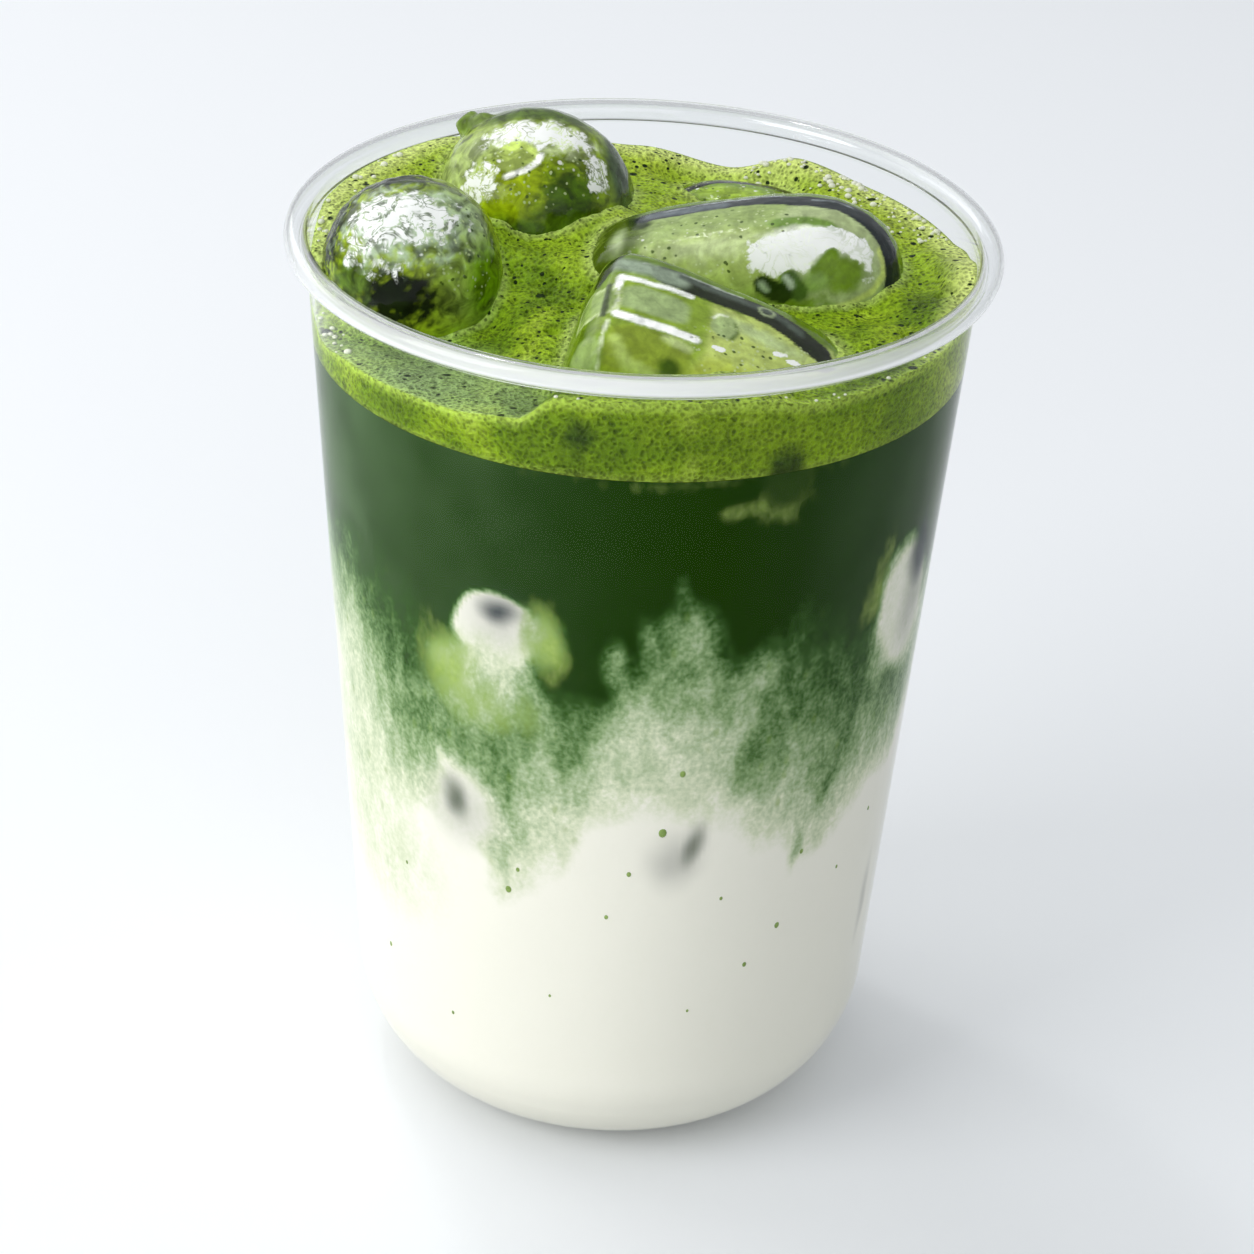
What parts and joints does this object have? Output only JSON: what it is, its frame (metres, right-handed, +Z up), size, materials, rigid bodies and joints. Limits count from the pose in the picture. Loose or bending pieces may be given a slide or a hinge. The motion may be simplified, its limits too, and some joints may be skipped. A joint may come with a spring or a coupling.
{
  "type": "iced matcha latte",
  "caption": "Iced matcha latte in a clear U-shaped plastic cup: milk below, matcha above, bright green foam and clear ice at the top.",
  "frame": {"origin": "centre of the underside of the cup, in the plane that it stands on", "axes": "+Z up along the cup's axis; -Y is the side that faces the viewer; +X is to the viewer's right"},
  "size_m": [0.09, 0.09, 0.1285],
  "materials": {
    "clear_pet": "clear thin plastic, polished",
    "milk": "off-white liquid, seen through the cup",
    "matcha": "dark green liquid, seen through the cup",
    "matcha_foam": "fine yellow-green foam with small holes",
    "ice": "clear wet ice with a green cast"
  },
  "bodies": {
    "root": {"cup": "clear_pet", "milk": "milk", "matcha": "matcha", "foam": "matcha_foam", "ice_ball_left": "ice", "ice_ball_back": "ice", "ice_block_back": "ice", "ice_block_front": "ice", "ice_piece_back": "ice"}
  },
  "joints": []
}
